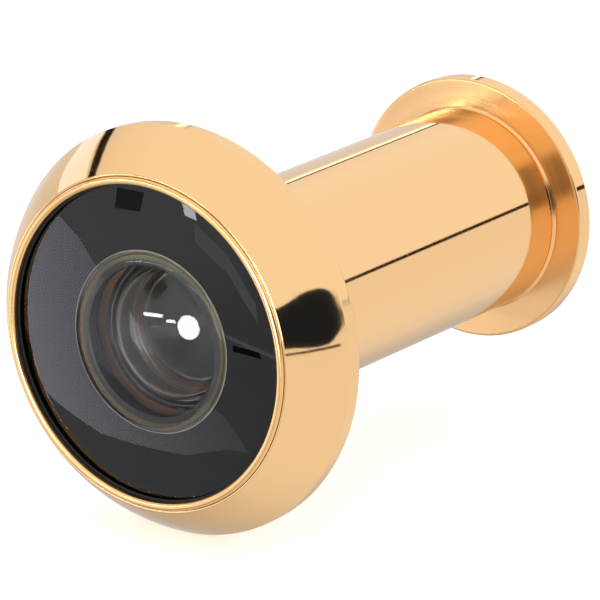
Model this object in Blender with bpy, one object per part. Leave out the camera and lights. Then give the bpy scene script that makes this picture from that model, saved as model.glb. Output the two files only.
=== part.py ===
"""A door viewer of turned brass with a wide-angle glass lens group, as an assembly of separate pieces.

The optical axis lies along Y. The front, with the large lens, faces -Y, and +Z is up.
The origin is on the axis, in the plane where the front flange seats on the door's outer face.
The rear half screws into the front half, so that the two flanges clamp doors of different thickness.
"""

import math

import bmesh
import bpy

MM = 0.001

# How finely round shapes are cut
SEGMENTS = 48
THREAD_STEPS = 24
LENS_STEPS = 5
CROWN_STEPS = 4

# Clearances between neighbours
FIT_GAP = 0.10 * MM
PRESS_GAP = 0.10 * MM

# Front barrel: the wide flange and the tube that passes through the door
TUBE_RADIUS = 8.00 * MM
TUBE_END = 35.90 * MM
TUBE_END_CHAMFER = 0.25 * MM
FLANGE_RADIUS = 15.50 * MM
FLANGE_EDGE = 0.30 * MM
RIM_LENGTH = 1.40 * MM
CREASE_RADIUS = 12.70 * MM
FRONT_EDGE = -5.35 * MM
CONE_CROWN = 0.15 * MM
CELL_RADIUS = 12.55 * MM
CELL_FLOOR = -3.20 * MM
SECOND_BORE_RADIUS = 7.15 * MM
THIRD_BORE_RADIUS = 5.75 * MM
THIRD_BORE_START = 1.15 * MM
WEB_FRONT = 2.70 * MM
WEB_THICKNESS = 0.85 * MM
WEB_APERTURE = 4.90 * MM
REAR_BORE_RADIUS = 7.05 * MM

# Screw thread that joins the two halves
PITCH = 1.00 * MM
THREAD_DEPTH = 0.50 * MM
BARREL_CREST = 6.70 * MM
THREAD_PLAY = 0.25 * MM
NUT_LENGTH = 8.50 * MM
THREAD_OVERRUN = 0.60 * MM

# Lip ring, gasket and mask around the objective lens
LIP_INNER_RADIUS = 11.95 * MM
LIP_WALL = 0.25 * MM
LIP_FRONT = -5.58 * MM
LIP_BEAD = 0.43 * MM
GASKET_INNER_RADIUS = 11.80 * MM
GASKET_THICKNESS = 0.17 * MM
MASK_THICKNESS = 0.70 * MM
MASK_INNER_RADIUS = 5.65 * MM
CLEAR_RADIUS = 6.90 * MM

# Objective lens
OBJECTIVE_RADIUS = 12.10 * MM
OBJECTIVE_FRONT = -5.49 * MM
OBJECTIVE_FRONT_CURVE = 100.0 * MM
OBJECTIVE_BACK = -4.10 * MM
BOWL_RADIUS = 5.65 * MM
BOWL_STEP = 0.10 * MM
BOWL_CURVE = 24.0 * MM

# Second lens and the black ring that keeps it down
SECOND_RADIUS = 7.05 * MM
SECOND_FRONT = -4.20 * MM
SECOND_FRONT_CURVE = 11.0 * MM
SECOND_BACK = -0.20 * MM
SECOND_BOWL_RADIUS = 5.30 * MM
SECOND_BOWL_CURVE = 6.20 * MM
KEEPER_INNER_RADIUS = 6.10 * MM

# Third lens and its spacer
SPACER_INNER_RADIUS = 4.95 * MM
THIRD_RADIUS = 5.65 * MM
THIRD_FRONT = -0.28 * MM
THIRD_FRONT_CURVE = 9.0 * MM
THIRD_BACK = 2.60 * MM

# Eyepiece barrel: the rear flange and the threaded tube
REAR_FLANGE_RADIUS = 10.37 * MM
REAR_FLANGE_FRONT = 36.15 * MM
REAR_FLANGE_BACK = 37.65 * MM
REAR_FLANGE_EDGE = 0.20 * MM
BOSS_RADIUS = 8.20 * MM
BOSS_HEIGHT = 0.15 * MM
BARREL_FRONT = 4.60 * MM
UNDERCUT_START = 34.90 * MM
UNDERCUT_RADIUS = 6.15 * MM
BARREL_BORE_RADIUS = 4.90 * MM
EYE_BORE_RADIUS = 5.55 * MM
EYE_SEAT = 33.40 * MM
EYE_MOUTH_CHAMFER = 0.30 * MM
COIN_SLOT_WIDTH = 1.60 * MM
COIN_SLOT_DEPTH = 0.80 * MM
COIN_SLOT_INNER = 6.50 * MM
COIN_SLOT_OUTER = 9.00 * MM

# Eyepiece lens and lock ring
EYE_LENS_RADIUS = 5.45 * MM
EYE_LENS_FRONT = 32.95 * MM
EYE_LENS_FRONT_CURVE = 20.0 * MM
EYE_LENS_BACK = 36.00 * MM
EYE_LENS_BACK_CURVE = 12.0 * MM
LOCK_RING_INNER_RADIUS = 4.60 * MM
LOCK_RING_FRONT = 35.25 * MM
LOCK_RING_BACK = 36.95 * MM
SPANNER_SLOT_WIDTH = 1.00 * MM
SPANNER_SLOT_DEPTH = 0.60 * MM

# Colour, metallic value and roughness of each finish
POLISHED_GOLD = ((0.93, 0.62, 0.30), 1.0, 0.08)
BARE_BRASS = ((0.78, 0.52, 0.22), 1.0, 0.25)
BLACKENED = ((0.015, 0.014, 0.014), 0.0, 0.45)
RUBBER = ((0.02, 0.02, 0.02), 0.0, 0.80)
CROWN_GLASS = ((0.80, 0.84, 0.84), 0.0, 0.03)


def clear_scene():
    """Removes every object that is already in the scene."""
    for obj in list(bpy.data.objects):
        bpy.data.objects.remove(obj, do_unlink=True)


def finish(name, values):
    """A plain material with this colour, metallic value and roughness."""
    colour, metallic, roughness = values
    material = bpy.data.materials.new(name)
    material.use_nodes = True
    shader = material.node_tree.nodes["Principled BSDF"]
    shader.inputs["Base Color"].default_value = (*colour, 1.0)
    shader.inputs["Metallic"].default_value = metallic
    shader.inputs["Roughness"].default_value = roughness
    return material


def add_object(name, mesh_builder, values=None):
    """Links a closed mesh to the scene, with a material where the piece is a real one."""
    mesh = bpy.data.meshes.new(name)
    bmesh.ops.recalc_face_normals(mesh_builder, faces=mesh_builder.faces)
    mesh_builder.to_mesh(mesh)
    mesh_builder.free()
    mesh.shade_smooth()
    mesh.set_sharp_from_angle(angle=math.radians(30))
    obj = bpy.data.objects.new(name, mesh)
    bpy.context.scene.collection.objects.link(obj)
    if values:
        mesh.materials.append(finish(name, values))
    else:
        obj.hide_render = True
        obj.display_type = "WIRE"
    return obj


def turned(name, outline, values=None):
    """A piece turned about Y from a closed outline of (radius, place along Y) points."""
    builder = bmesh.new()
    points = [builder.verts.new((radius, along, 0.0)) for radius, along in outline]
    edges = [builder.edges.new((a, b)) for a, b in zip(points, points[1:] + points[:1])]
    bmesh.ops.spin(
        builder,
        geom=points + edges,
        cent=(0.0, 0.0, 0.0),
        axis=(0.0, 1.0, 0.0),
        angle=2 * math.pi,
        steps=SEGMENTS,
        use_merge=True,
    )
    bmesh.ops.remove_doubles(builder, verts=builder.verts, dist=0.0001 * MM)
    return add_object(name, builder, values)


def sphere_sag(radius, curve):
    """How far a spherical surface falls back at this distance from the axis."""
    return curve - math.sqrt(curve * curve - radius * radius)


def lens_arc(vertex, curve, sense, start, stop):
    """Points of a spherical surface from one radius to another. Sense is +1 where the edge lies at +Y."""
    radii = [start + (stop - start) * step / LENS_STEPS for step in range(LENS_STEPS + 1)]
    return [(radius, vertex + sense * sphere_sag(radius, curve)) for radius in radii]


def cut(body, cutter, operation="DIFFERENCE"):
    """Adds a Boolean modifier that joins a cutter to a body or takes it away."""
    modifier = body.modifiers.new(cutter.name, "BOOLEAN")
    modifier.operation = operation
    modifier.solver = "EXACT"
    modifier.object = cutter


def threaded_rod(name, crest, start, stop):
    """A solid rod with a right-hand V thread. Every rod shares one phase, so a rod and its nut mesh.

    The skin is a strip of rows that climb one pitch in a turn. Rows are crests and roots in turn.
    The ragged ends of the strip are cut flat and filled.
    """
    builder = bmesh.new()
    half_pitch = PITCH / 2
    first = 2 * (math.floor(start / PITCH) - 2)
    last = 2 * (math.ceil(stop / PITCH) + 2)
    rows = []
    for row in range(first, last + 1):
        radius = crest if row % 2 == 0 else crest - THREAD_DEPTH
        ring = []
        for step in range(THREAD_STEPS):
            turn = 2 * math.pi * step / THREAD_STEPS
            along = row * half_pitch + PITCH * step / THREAD_STEPS
            ring.append(builder.verts.new((radius * math.cos(turn), along, -radius * math.sin(turn))))
        rows.append(ring)
    for lower, upper in zip(rows, rows[1:]):
        for step in range(THREAD_STEPS - 1):
            builder.faces.new((lower[step], lower[step + 1], upper[step + 1], upper[step]))
    for here in range(len(rows) - 3):
        after = rows[here + 2][0], rows[here + 3][0]
        builder.faces.new((rows[here][-1], after[0], after[1], rows[here + 1][-1]))
    for place, side in ((start, -1.0), (stop, 1.0)):
        bmesh.ops.bisect_plane(
            builder,
            geom=builder.verts[:] + builder.edges[:] + builder.faces[:],
            dist=0.00001 * MM,
            plane_co=(0.0, place, 0.0),
            plane_no=(0.0, side, 0.0),
            clear_outer=True,
        )
    rim = [edge for edge in builder.edges if edge.is_boundary]
    bmesh.ops.holes_fill(builder, edges=rim, sides=0)
    bmesh.ops.triangulate(builder, faces=builder.faces)
    return add_object(name, builder)


def bar(name, half_sizes, place):
    """A plain bar that cuts a slot. Half sizes and place are along X, Y and Z."""
    builder = bmesh.new()
    bmesh.ops.create_cube(builder, size=2.0)
    bmesh.ops.scale(builder, vec=half_sizes, verts=builder.verts)
    bmesh.ops.translate(builder, vec=place, verts=builder.verts)
    return add_object(name, builder)


def cone_outline():
    """The flange's front cone, from the rim to the lip ring, a little fuller than a straight line."""
    points = []
    for step in range(CROWN_STEPS + 1):
        share = step / CROWN_STEPS
        radius = FLANGE_RADIUS + (CREASE_RADIUS - FLANGE_RADIUS) * share
        along = -RIM_LENGTH + (FRONT_EDGE + RIM_LENGTH) * share
        bulge = CONE_CROWN * math.sin(math.pi * share)
        points.append((radius + bulge, along - bulge))
    return points


def front_barrel():
    """The flange, the lens cell and the tube, turned in one piece and threaded inside the tube's mouth."""
    nut_start = TUBE_END - NUT_LENGTH
    nut_stock = BARREL_CREST - THREAD_DEPTH - FIT_GAP
    mouth = REAR_BORE_RADIUS + FIT_GAP
    outline = [
        (TUBE_RADIUS - TUBE_END_CHAMFER, TUBE_END),
        (TUBE_RADIUS, TUBE_END - TUBE_END_CHAMFER),
        (TUBE_RADIUS, 0.0),
        (FLANGE_RADIUS - FLANGE_EDGE, 0.0),
        (FLANGE_RADIUS, -FLANGE_EDGE),
        *cone_outline(),
        (CELL_RADIUS, FRONT_EDGE),
        (CELL_RADIUS, CELL_FLOOR),
        (SECOND_BORE_RADIUS, CELL_FLOOR),
        (SECOND_BORE_RADIUS, THIRD_BORE_START),
        (THIRD_BORE_RADIUS, THIRD_BORE_START),
        (THIRD_BORE_RADIUS, WEB_FRONT),
        (WEB_APERTURE, WEB_FRONT),
        (WEB_APERTURE, WEB_FRONT + WEB_THICKNESS),
        (REAR_BORE_RADIUS, WEB_FRONT + WEB_THICKNESS),
        (REAR_BORE_RADIUS, nut_start),
        (nut_stock, nut_start),
        (nut_stock, TUBE_END - (mouth - nut_stock)),
        (mouth, TUBE_END),
    ]
    body = turned("front_barrel", outline, POLISHED_GOLD)
    crest = BARREL_CREST + THREAD_PLAY
    tap = threaded_rod("nut_tap", crest, nut_start - THREAD_OVERRUN, TUBE_END + THREAD_OVERRUN)
    cut(body, tap)
    return body


def lens_lip_ring():
    """The pressed ring whose bead holds the glass. Its skirt lines the cell around the glass."""
    outer = CELL_RADIUS - PRESS_GAP
    inner = outer - LIP_WALL
    bead_back = LIP_FRONT + LIP_BEAD
    edge = 0.12 * MM
    outline = [
        (LIP_INNER_RADIUS, bead_back),
        (LIP_INNER_RADIUS, LIP_FRONT + edge),
        (LIP_INNER_RADIUS + edge, LIP_FRONT),
        (outer - edge, LIP_FRONT),
        (outer, LIP_FRONT + edge),
        (outer, OBJECTIVE_BACK),
        (inner, OBJECTIVE_BACK),
        (inner, bead_back),
    ]
    return turned("lens_lip_ring", outline, POLISHED_GOLD)


def plain_ring(name, inner, outer, front, back, values):
    """A ring of rectangular section."""
    outline = [(inner, front), (outer, front), (outer, back), (inner, back)]
    return turned(name, outline, values)


def objective_gasket():
    """The thin black ring that beds the front of the glass against the lip ring's bead."""
    outer = CELL_RADIUS - PRESS_GAP - LIP_WALL - FIT_GAP / 2
    front = LIP_FRONT + LIP_BEAD + FIT_GAP
    back = front + GASKET_THICKNESS
    return plain_ring("objective_gasket", GASKET_INNER_RADIUS, outer, front, back, RUBBER)


def objective_lens():
    """The large front lens, gently crowned in front and hollowed behind inside a flat ring."""
    bowl_edge = OBJECTIVE_BACK - BOWL_STEP
    bowl_vertex = bowl_edge - sphere_sag(BOWL_RADIUS, BOWL_CURVE)
    outline = [
        *lens_arc(OBJECTIVE_FRONT, OBJECTIVE_FRONT_CURVE, 1, 0.0, OBJECTIVE_RADIUS),
        (OBJECTIVE_RADIUS, OBJECTIVE_BACK),
        (CLEAR_RADIUS, OBJECTIVE_BACK),
        *lens_arc(bowl_vertex, BOWL_CURVE, 1, BOWL_RADIUS, 0.0),
    ]
    return turned("objective_lens", outline, CROWN_GLASS)


def black_mask_ring():
    """The black ring behind the flat of the objective lens, which leaves only the middle clear."""
    front = OBJECTIVE_BACK + FIT_GAP
    outer = CELL_RADIUS - PRESS_GAP
    return plain_ring("black_mask_ring", MASK_INNER_RADIUS, outer, front, front + MASK_THICKNESS, BLACKENED)


def second_lens():
    """The domed second lens, with a deep bowl behind."""
    bowl_vertex = SECOND_BACK - sphere_sag(SECOND_BOWL_RADIUS, SECOND_BOWL_CURVE)
    outline = [
        *lens_arc(SECOND_FRONT, SECOND_FRONT_CURVE, 1, 0.0, SECOND_RADIUS),
        (SECOND_RADIUS, SECOND_BACK),
        *lens_arc(bowl_vertex, SECOND_BOWL_CURVE, 1, SECOND_BOWL_RADIUS, 0.0),
    ]
    return turned("second_lens", outline, CROWN_GLASS)


def second_lens_keeper():
    """The black ring between the objective lens and the second lens, coned to sit on the dome."""
    front = CELL_FLOOR + FIT_GAP
    reach = SECOND_FRONT - FIT_GAP
    outline = [
        (KEEPER_INNER_RADIUS, front),
        (SECOND_RADIUS, front),
        (SECOND_RADIUS, reach + sphere_sag(SECOND_RADIUS, SECOND_FRONT_CURVE)),
        (KEEPER_INNER_RADIUS, reach + sphere_sag(KEEPER_INNER_RADIUS, SECOND_FRONT_CURVE)),
    ]
    return turned("second_lens_keeper", outline, BLACKENED)


def lens_spacer():
    """The brass ring that sets the distance between the second and third lenses."""
    front = SECOND_BACK + FIT_GAP
    back = THIRD_BORE_START - FIT_GAP
    return plain_ring("lens_spacer", SPACER_INNER_RADIUS, SECOND_RADIUS, front, back, BARE_BRASS)


def third_lens():
    """The small third lens, domed in front and flat behind, on the barrel's inner web."""
    outline = [
        *lens_arc(THIRD_FRONT, THIRD_FRONT_CURVE, 1, 0.0, THIRD_RADIUS),
        (THIRD_RADIUS, THIRD_BACK),
        (0.0, THIRD_BACK),
    ]
    return turned("third_lens", outline, CROWN_GLASS)


def eyepiece_bore():
    """The cutter for the eyepiece barrel's bore, the lens seat in it and the mouth's chamfer."""
    past_front = BARREL_FRONT - THREAD_OVERRUN
    past_back = REAR_FLANGE_BACK + EYE_MOUTH_CHAMFER
    outline = [
        (0.0, past_front),
        (BARREL_BORE_RADIUS, past_front),
        (BARREL_BORE_RADIUS, EYE_SEAT),
        (EYE_BORE_RADIUS, EYE_SEAT),
        (EYE_BORE_RADIUS, REAR_FLANGE_BACK - EYE_MOUTH_CHAMFER),
        (EYE_BORE_RADIUS + 2 * EYE_MOUTH_CHAMFER, past_back),
        (0.0, past_back),
    ]
    return turned("eyepiece_bore", outline)


def eyepiece_barrel():
    """The rear flange and the threaded tube in one piece, with two slots for a coin in the rear face.

    A low coned boss on the flange's seat face meets the end of the front barrel's tube.
    """
    boss_front = REAR_FLANGE_FRONT - BOSS_HEIGHT
    outline = [
        (0.0, UNDERCUT_START - PITCH),
        (UNDERCUT_RADIUS, UNDERCUT_START - PITCH),
        (UNDERCUT_RADIUS, boss_front),
        (BOSS_RADIUS - BOSS_HEIGHT, boss_front),
        (BOSS_RADIUS, REAR_FLANGE_FRONT),
        (REAR_FLANGE_RADIUS - REAR_FLANGE_EDGE, REAR_FLANGE_FRONT),
        (REAR_FLANGE_RADIUS, REAR_FLANGE_FRONT + REAR_FLANGE_EDGE),
        (REAR_FLANGE_RADIUS, REAR_FLANGE_BACK - REAR_FLANGE_EDGE),
        (REAR_FLANGE_RADIUS - REAR_FLANGE_EDGE, REAR_FLANGE_BACK),
        (0.0, REAR_FLANGE_BACK),
    ]
    body = turned("eyepiece_barrel", outline, POLISHED_GOLD)
    cut(body, threaded_rod("barrel_thread", BARREL_CREST, BARREL_FRONT, UNDERCUT_START), "UNION")
    cut(body, eyepiece_bore())
    middle = (COIN_SLOT_INNER + COIN_SLOT_OUTER) / 2
    half_sizes = ((COIN_SLOT_OUTER - COIN_SLOT_INNER) / 2, COIN_SLOT_DEPTH, COIN_SLOT_WIDTH / 2)
    for name, side in (("coin_slot_right", 1), ("coin_slot_left", -1)):
        cut(body, bar(name, half_sizes, (side * middle, REAR_FLANGE_BACK, 0.0)))
    return body


def eyepiece_lens():
    """The lens next to the eye, domed on both sides."""
    outline = [
        *lens_arc(EYE_LENS_FRONT, EYE_LENS_FRONT_CURVE, 1, 0.0, EYE_LENS_RADIUS),
        *lens_arc(EYE_LENS_BACK, EYE_LENS_BACK_CURVE, -1, EYE_LENS_RADIUS, 0.0),
    ]
    return turned("eyepiece_lens", outline, CROWN_GLASS)


def eyepiece_lock_ring():
    """The ring that holds the eyepiece lens, with a slot across its rear face for a spanner."""
    body = plain_ring(
        "eyepiece_lock_ring",
        LOCK_RING_INNER_RADIUS,
        EYE_LENS_RADIUS,
        LOCK_RING_FRONT,
        LOCK_RING_BACK,
        BARE_BRASS,
    )
    half_sizes = (REAR_FLANGE_RADIUS, SPANNER_SLOT_DEPTH, SPANNER_SLOT_WIDTH / 2)
    cut(body, bar("spanner_slot", half_sizes, (0.0, LOCK_RING_BACK, 0.0)))
    return body


def build():
    """Makes every piece of the viewer."""
    clear_scene()
    front_barrel()
    lens_lip_ring()
    objective_gasket()
    objective_lens()
    black_mask_ring()
    second_lens_keeper()
    second_lens()
    lens_spacer()
    third_lens()
    eyepiece_barrel()
    eyepiece_lens()
    eyepiece_lock_ring()


build()
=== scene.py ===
"""Looks of a door viewer: a wide-angle glass in a polished flange, and an eyepiece half screwed in behind it.

The optical axis lies along Y. The large glass faces -Y and +Z is up, in metres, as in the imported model.
Sizes inside the classes are in millimetres.
"""

import logging
import math
from dataclasses import dataclass
from enum import Enum

import bmesh
import bpy
from mathutils import Matrix, Vector


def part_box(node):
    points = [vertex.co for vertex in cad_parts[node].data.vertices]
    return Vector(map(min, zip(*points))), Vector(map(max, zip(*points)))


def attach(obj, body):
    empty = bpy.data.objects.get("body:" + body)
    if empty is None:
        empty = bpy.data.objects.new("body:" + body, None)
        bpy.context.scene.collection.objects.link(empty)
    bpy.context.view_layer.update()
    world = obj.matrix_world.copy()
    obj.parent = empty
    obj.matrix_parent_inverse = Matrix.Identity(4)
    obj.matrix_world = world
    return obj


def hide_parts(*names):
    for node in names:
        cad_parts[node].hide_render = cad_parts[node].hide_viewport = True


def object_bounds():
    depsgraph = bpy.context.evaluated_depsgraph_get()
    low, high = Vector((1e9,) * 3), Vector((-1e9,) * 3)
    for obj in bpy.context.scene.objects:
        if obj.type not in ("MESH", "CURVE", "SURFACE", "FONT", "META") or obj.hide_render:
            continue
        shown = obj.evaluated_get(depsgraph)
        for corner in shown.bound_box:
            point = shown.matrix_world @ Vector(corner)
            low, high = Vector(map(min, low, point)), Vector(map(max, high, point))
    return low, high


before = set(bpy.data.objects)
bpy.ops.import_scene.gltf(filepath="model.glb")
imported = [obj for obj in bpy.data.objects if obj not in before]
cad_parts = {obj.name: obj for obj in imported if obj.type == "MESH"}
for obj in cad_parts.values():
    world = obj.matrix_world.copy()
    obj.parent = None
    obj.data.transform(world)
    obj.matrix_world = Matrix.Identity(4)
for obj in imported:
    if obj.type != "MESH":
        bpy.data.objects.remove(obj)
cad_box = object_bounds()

MM = 0.001
# Steps round a turned piece, round a rounding, along a lens face and round a slot's end
SEGMENTS = 192
ROUNDING_STEPS = 5
LENS_STEPS = 24
SLOT_END_STEPS = 16
# The share of a side that a rounding may take, and the corner so wide that it needs none
SIDE_SHARE = 0.48
STRAIGHT = math.radians(176)
# How far beside a rounding the holding point stands, and the least room for one, in millimetres
HOLD = 0.03
LEAST_HOLD = 0.002
# A corner this near the axis, in millimetres, is on it
ON_AXIS = 1e-6
# How much of the turn about the axis the lathe pattern takes, so its rings aren't perfect
TURN_SHARE = 0.12
# Steps in a turn of thread, its size where it runs out, and the share of its depth sunk into the root
THREAD_STEPS = 72
THREAD_TIP = 0.05
THREAD_ROOTING = 0.12
SHARP_ANGLE = math.radians(35)

log = logging.getLogger("door_viewer")

Point = tuple[float, float]
Spot = tuple[float, float, float]
Tree = bpy.types.NodeTree
Node = bpy.types.Node
Socket = bpy.types.NodeSocket
Thing = bpy.types.Object
Mould = bmesh.types.BMesh


# ---------------------------------------------------------------- finishes


def linear(hex_colour: str) -> tuple[float, float, float, float]:
    """Turns an sRGB hex colour into linear values.

    Args:
        hex_colour: Six hex digits, with or without a leading "#".

    Returns:
        Red, green, blue and an alpha of 1.
    """
    digits = hex_colour.lstrip("#")
    values = [int(digits[place : place + 2], 16) / 255 for place in (0, 2, 4)]
    made = [v / 12.92 if v <= 0.04045 else ((v + 0.055) / 1.055) ** 2.4 for v in values]
    return made[0], made[1], made[2], 1.0


def add_node(
    tree: Tree,
    kind: str,
    settings: dict[str, object] | None = None,
    inputs: dict[str | int, object] | None = None,
) -> Node:
    """Adds a node with its settings, and gives each named input a value or a link.

    Args:
        tree: The material's or modifier's node tree.
        kind: The node's type name.
        settings: Properties of the node itself.
        inputs: Socket name or number, and the value or the output socket that feeds it.

    Returns:
        The new node.
    """
    node = tree.nodes.new(kind)
    for name, value in (settings or {}).items():
        setattr(node, name, value)
    for name, value in (inputs or {}).items():
        if isinstance(value, Socket):
            tree.links.new(value, node.inputs[name])
        else:
            node.inputs[name].default_value = value
    return node


def axis_vector(tree: Tree) -> Socket:
    """Gives (distance from the axis, place along the axis, a little of the turn about it), as a lathe cuts.

    Args:
        tree: The material's node tree.

    Returns:
        The output socket with the vector, in metres.
    """
    place = add_node(tree, "ShaderNodeTexCoord").outputs["Object"]
    parts = add_node(tree, "ShaderNodeSeparateXYZ", inputs={0: place}).outputs
    square_x = add_node(tree, "ShaderNodeMath", {"operation": "POWER"}, {0: parts["X"], 1: 2.0})
    both = {0: parts["Z"], 1: parts["Z"], 2: square_x.outputs[0]}
    square_sum = add_node(tree, "ShaderNodeMath", {"operation": "MULTIPLY_ADD"}, both)
    radius = add_node(tree, "ShaderNodeMath", {"operation": "SQRT"}, {0: square_sum.outputs[0]})
    angle = add_node(tree, "ShaderNodeMath", {"operation": "ARCTAN2"}, {0: parts["Z"], 1: parts["X"]})
    amount = {0: angle.outputs[0], 1: TURN_SHARE * MM}
    turn = add_node(tree, "ShaderNodeMath", {"operation": "MULTIPLY"}, amount)
    ways = {"X": radius.outputs[0], "Y": parts["Y"], "Z": turn.outputs[0]}
    return add_node(tree, "ShaderNodeCombineXYZ", inputs=ways).outputs[0]


@dataclass(frozen=True)
class Finish:
    """A surface finish. Each kind adds its own nodes to the principled shader."""

    name: str
    hex_colour: str
    roughness: float

    def material(self) -> bpy.types.Material:
        """Returns the material of this finish, made the first time that it is asked for."""
        found = bpy.data.materials.get(self.name)
        if found:
            return found
        made = bpy.data.materials.new(self.name)
        made.use_nodes = True
        shader = made.node_tree.nodes["Principled BSDF"]
        shader.inputs["Base Color"].default_value = linear(self.hex_colour)
        shader.inputs["Roughness"].default_value = self.roughness
        self.dress(made.node_tree, shader)
        return made

    def dress(self, tree: Tree, shader: Node) -> None:
        """Adds what this kind of finish needs. A plain one needs nothing."""

    def vary_haze(self, tree: Tree, shader: Node, pattern: Socket, span: Point, haze: Point) -> None:
        """Lets a pattern drive the roughness.

        Args:
            tree: The material's node tree.
            shader: Its principled shader.
            pattern: The pattern's socket.
            span: The pattern's values that give the least and the most roughness.
            haze: The least and the most roughness.
        """
        ends = dict(zip(("From Min", "From Max", "To Min", "To Max"), (*span, *haze)))
        spread = add_node(tree, "ShaderNodeMapRange", inputs={"Value": pattern, **ends})
        tree.links.new(spread.outputs["Result"], shader.inputs["Roughness"])

    def emboss(self, tree: Tree, shader: Node, pattern: Socket, height: float, strength: float = 1.0) -> None:
        """Lets a pattern raise the surface.

        Args:
            tree: The material's node tree.
            shader: Its principled shader.
            pattern: The pattern's socket.
            height: The height between the pattern's lowest and highest values, in millimetres.
            strength: How much of the raised surface is felt, from 0 to 1.
        """
        raised = {"Strength": strength, "Distance": height * MM, "Height": pattern}
        bump = add_node(tree, "ShaderNodeBump", inputs=raised)
        tree.links.new(bump.outputs["Normal"], shader.inputs["Normal"])


@dataclass(frozen=True)
class PolishedMetal(Finish):
    """Buffed and plated metal: a mirror with a breath of haze and the slow waves of the buffing wheel."""

    haze: float = 0.03
    wave_mm: float = 2.4
    wave_height_mm: float = 0.0012
    buff_mm: float = 0.35

    def dress(self, tree: Tree, shader: Node) -> None:
        """Adds the haze, the buffing lines round the axis and the waviness."""
        shader.inputs["Metallic"].default_value = 1.0
        lathe = axis_vector(tree)
        place = add_node(tree, "ShaderNodeTexCoord").outputs["Object"]
        lines = {"Vector": lathe, "Scale": 1 / (self.buff_mm * MM), "Detail": 3.0}
        buff = add_node(tree, "ShaderNodeTexNoise", inputs=lines)
        patches = {"Vector": place, "Scale": 1 / (3 * self.wave_mm * MM), "Detail": 4.0}
        cloud = add_node(tree, "ShaderNodeTexNoise", inputs=patches)
        pair = {0: buff.outputs["Fac"], 1: cloud.outputs["Fac"]}
        mixed = add_node(tree, "ShaderNodeMath", {"operation": "MULTIPLY"}, pair).outputs[0]
        haze = (self.roughness, self.roughness + self.haze)
        self.vary_haze(tree, shader, mixed, (0.1, 0.45), haze)
        swell = {"Vector": place, "Scale": 1 / (self.wave_mm * MM), "Detail": 1.0}
        wave = add_node(tree, "ShaderNodeTexNoise", inputs=swell)
        self.emboss(tree, shader, wave.outputs["Fac"], self.wave_height_mm)


@dataclass(frozen=True)
class TurnedMetal(Finish):
    """Metal as it leaves the lathe: fine rings that spread each reflection across the cut."""

    ring_mm: float = 0.09
    ring_height_mm: float = 0.0010
    stretch: float = 0.6
    quarter_turn: float = 0.25

    def dress(self, tree: Tree, shader: Node) -> None:
        """Adds the tool's rings, the spread across them and a change of haze from ring to ring."""
        shader.inputs["Metallic"].default_value = 1.0
        shader.inputs["Anisotropic"].default_value = self.stretch
        shader.inputs["Anisotropic Rotation"].default_value = self.quarter_turn
        tangent = add_node(tree, "ShaderNodeTangent", {"direction_type": "RADIAL", "axis": "Y"})
        tree.links.new(tangent.outputs[0], shader.inputs["Tangent"])
        lathe = axis_vector(tree)
        fine = {"Vector": lathe, "Scale": 1 / (self.ring_mm * MM), "Detail": 2.0}
        rings = add_node(tree, "ShaderNodeTexNoise", inputs=fine)
        wide = {"Vector": lathe, "Scale": 1 / (9 * self.ring_mm * MM), "Detail": 2.0}
        bands = add_node(tree, "ShaderNodeTexNoise", inputs=wide)
        haze = (self.roughness * 0.85, self.roughness * 1.2)
        self.vary_haze(tree, shader, bands.outputs["Fac"], (0.3, 0.7), haze)
        self.emboss(tree, shader, rings.outputs["Fac"], self.ring_height_mm)


@dataclass(frozen=True)
class MattCoat(Finish):
    """A matt oxide or rubber, and the matt rings of painted highlight on the glass: a fine grain that breaks up
    what light it returns.
    """

    grain_mm: float = 0.08
    grain_height_mm: float = 0.004
    haze_change: float = 0.08

    def dress(self, tree: Tree, shader: Node) -> None:
        """Adds the grain and a slight change of shade."""
        place = add_node(tree, "ShaderNodeTexCoord").outputs["Object"]
        grains = {"Vector": place, "Scale": 1 / (self.grain_mm * MM), "Detail": 3.0}
        grain = add_node(tree, "ShaderNodeTexNoise", inputs=grains).outputs["Fac"]
        haze = (self.roughness - self.haze_change, self.roughness + self.haze_change)
        self.vary_haze(tree, shader, grain, (0.0, 1.0), haze)
        self.emboss(tree, shader, grain, self.grain_height_mm, 0.5)


@dataclass(frozen=True)
class BeddedLacquer(Finish):
    """Lacquer brushed on the back of a glass: no gloss of its own, and slightly thin and thick places."""

    cloud_mm: float = 3.0
    thinning: float = 1.8

    def dress(self, tree: Tree, shader: Node) -> None:
        """Takes the gloss away and adds a slow change of shade."""
        shader.inputs["Specular IOR Level"].default_value = 0.0
        place = add_node(tree, "ShaderNodeTexCoord").outputs["Object"]
        clouds = {"Vector": place, "Scale": 1 / (self.cloud_mm * MM), "Detail": 2.0}
        cloud = add_node(tree, "ShaderNodeTexNoise", inputs=clouds)
        deep = linear(self.hex_colour)
        thin = tuple(value * self.thinning for value in deep[:3]) + (1.0,)
        colours = {"Factor": cloud.outputs["Fac"], 6: deep, 7: thin}
        shade = add_node(tree, "ShaderNodeMix", {"data_type": "RGBA"}, colours)
        tree.links.new(shade.outputs[2], shader.inputs["Base Color"])


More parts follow.
